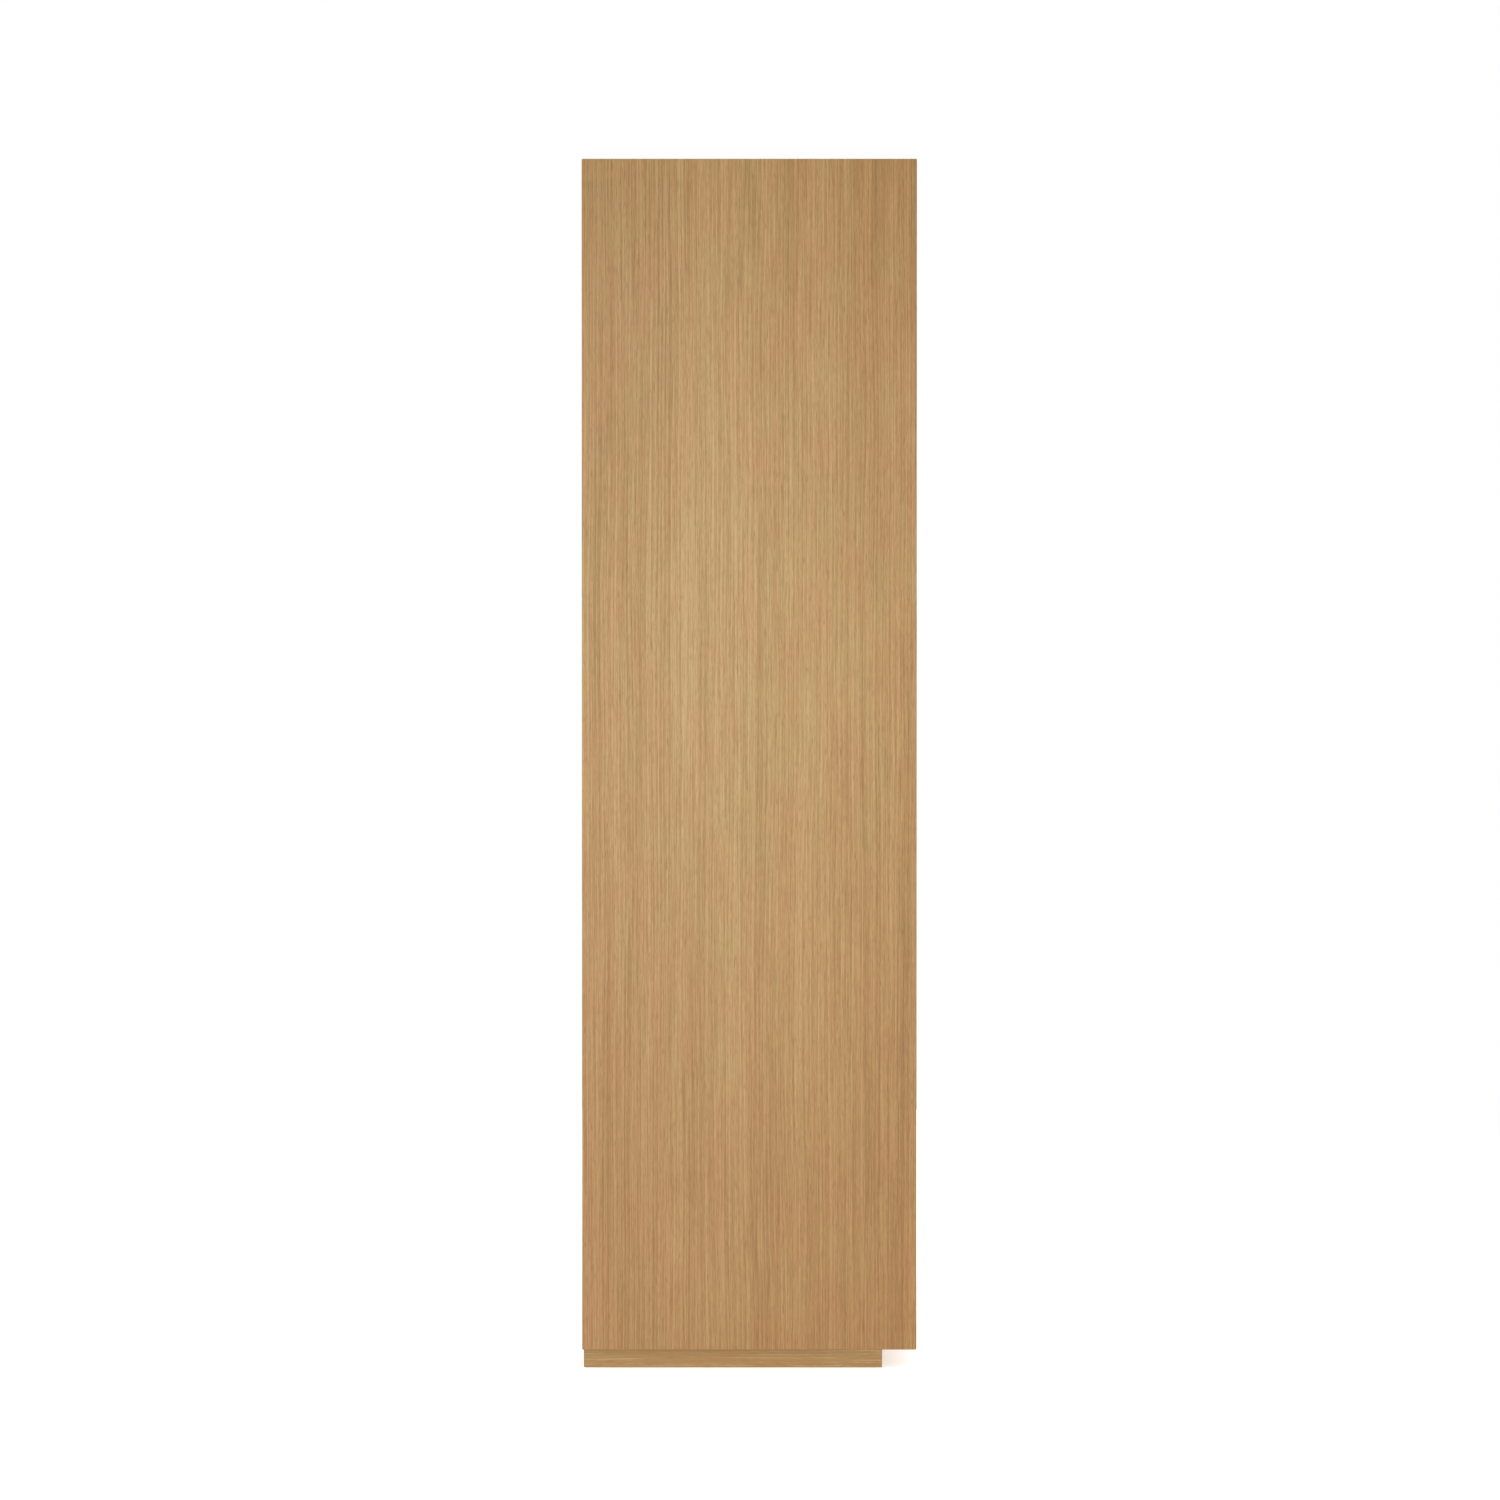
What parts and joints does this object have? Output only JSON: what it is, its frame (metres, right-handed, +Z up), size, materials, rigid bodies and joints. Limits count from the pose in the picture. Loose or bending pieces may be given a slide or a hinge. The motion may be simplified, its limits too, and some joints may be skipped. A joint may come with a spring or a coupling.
{
  "type": "pantry cabinet",
  "caption": "Tall freestanding pantry cabinet in straight-grained oak veneer, with inset doors, shelves inside and a low recessed plinth.",
  "frame": {"origin": "middle of the footprint's bounding box, on the floor", "axes": "+Z up, the doors face -Y, +X to the right of someone facing the doors"},
  "size_m": [1, 0.559, 2.02],
  "materials": {
    "oak_veneer": "satin matt lacquer over straight vertical oak veneer",
    "oak_inside": "matt lacquered oak veneer",
    "oak_back_panel": "matt lacquered oak veneer on thin board",
    "birch_plywood": "plain sanded plywood",
    "satin_nickel": "satin nickel plate",
    "zinc_steel": "bright zinc plate",
    "catch_housing": "moulded, fine matt texture"
  },
  "bodies": {
    "case": {"side_panel_left": "oak_veneer", "side_panel_right": "oak_veneer", "top_panel": "oak_veneer", "bottom_panel": "oak_veneer", "fixed_shelf": "oak_inside", "back_panel_lower": "oak_back_panel", "back_panel_upper": "oak_back_panel", "anchor_rail_bottom": "birch_plywood", "anchor_rail_top": "birch_plywood", "plinth_front": "oak_veneer", "plinth_rear": "oak_veneer", "plinth_left": "oak_veneer", "plinth_right": "oak_veneer", "plinth_brace": "birch_plywood", "foot_socket_front_left": "zinc_steel", "foot_socket_front_right": "zinc_steel", "foot_socket_rear_left": "zinc_steel", "foot_socket_rear_right": "zinc_steel", "loose_shelf_1": "oak_inside", "shelf_pin_1_left_front": "satin_nickel", "shelf_pin_1_left_rear": "satin_nickel", "shelf_pin_1_right_front": "satin_nickel", "shelf_pin_1_right_rear": "satin_nickel", "loose_shelf_2": "oak_inside", "shelf_pin_2_left_front": "satin_nickel", "shelf_pin_2_left_rear": "satin_nickel", "shelf_pin_2_right_front": "satin_nickel", "shelf_pin_2_right_rear": "satin_nickel", "loose_shelf_3": "oak_inside", "shelf_pin_3_left_front": "satin_nickel", "shelf_pin_3_left_rear": "satin_nickel", "shelf_pin_3_right_front": "satin_nickel", "shelf_pin_3_right_rear": "satin_nickel", "loose_shelf_4": "oak_inside", "shelf_pin_4_left_front": "satin_nickel", "shelf_pin_4_left_rear": "satin_nickel", "shelf_pin_4_right_front": "satin_nickel", "shelf_pin_4_right_rear": "satin_nickel", "wall_bracket_left": "zinc_steel", "hinge_case_leaf_left_lower": "satin_nickel", "hinge_case_leaf_left_upper": "satin_nickel", "wall_bracket_right": "zinc_steel", "hinge_case_leaf_right_lower": "satin_nickel", "hinge_case_leaf_right_upper": "satin_nickel", "magnetic_catch_lower": "catch_housing", "magnetic_catch_upper": "catch_housing"},
    "door_left": {"door_left": "oak_veneer", "hinge_door_leaf_left_lower": "satin_nickel", "strike_plate_left_lower": "satin_nickel", "hinge_door_leaf_left_upper": "satin_nickel", "strike_plate_left_upper": "satin_nickel"},
    "door_right": {"door_right": "oak_veneer", "hinge_door_leaf_right_lower": "satin_nickel", "strike_plate_right_lower": "satin_nickel", "hinge_door_leaf_right_upper": "satin_nickel", "strike_plate_right_upper": "satin_nickel"},
    "foot_front_left": {"levelling_foot_front_left": "zinc_steel"},
    "foot_front_right": {"levelling_foot_front_right": "zinc_steel"},
    "foot_rear_left": {"levelling_foot_rear_left": "zinc_steel"},
    "foot_rear_right": {"levelling_foot_rear_right": "zinc_steel"}
  },
  "joints": [
    {"name": "door_left_swing", "type": "hinge", "parent": "case", "child": "door_left", "pos_m": [-0.467, -0.2705, 0.057], "axis": [0, 0, -1], "range_deg": [0, 100]},
    {"name": "door_right_swing", "type": "hinge", "parent": "case", "child": "door_right", "pos_m": [0.467, -0.2705, 0.057], "axis": [0, 0, 1], "range_deg": [0, 100]},
    {"name": "foot_front_left_travel", "type": "slide", "parent": "case", "child": "foot_front_left", "axis": [0, 0, -1], "range_m": [0, 0.01]},
    {"name": "foot_front_right_travel", "type": "slide", "parent": "case", "child": "foot_front_right", "axis": [0, 0, -1], "range_m": [0, 0.01]},
    {"name": "foot_rear_left_travel", "type": "slide", "parent": "case", "child": "foot_rear_left", "axis": [0, 0, -1], "range_m": [0, 0.01]},
    {"name": "foot_rear_right_travel", "type": "slide", "parent": "case", "child": "foot_rear_right", "axis": [0, 0, -1], "range_m": [0, 0.01]}
  ]
}
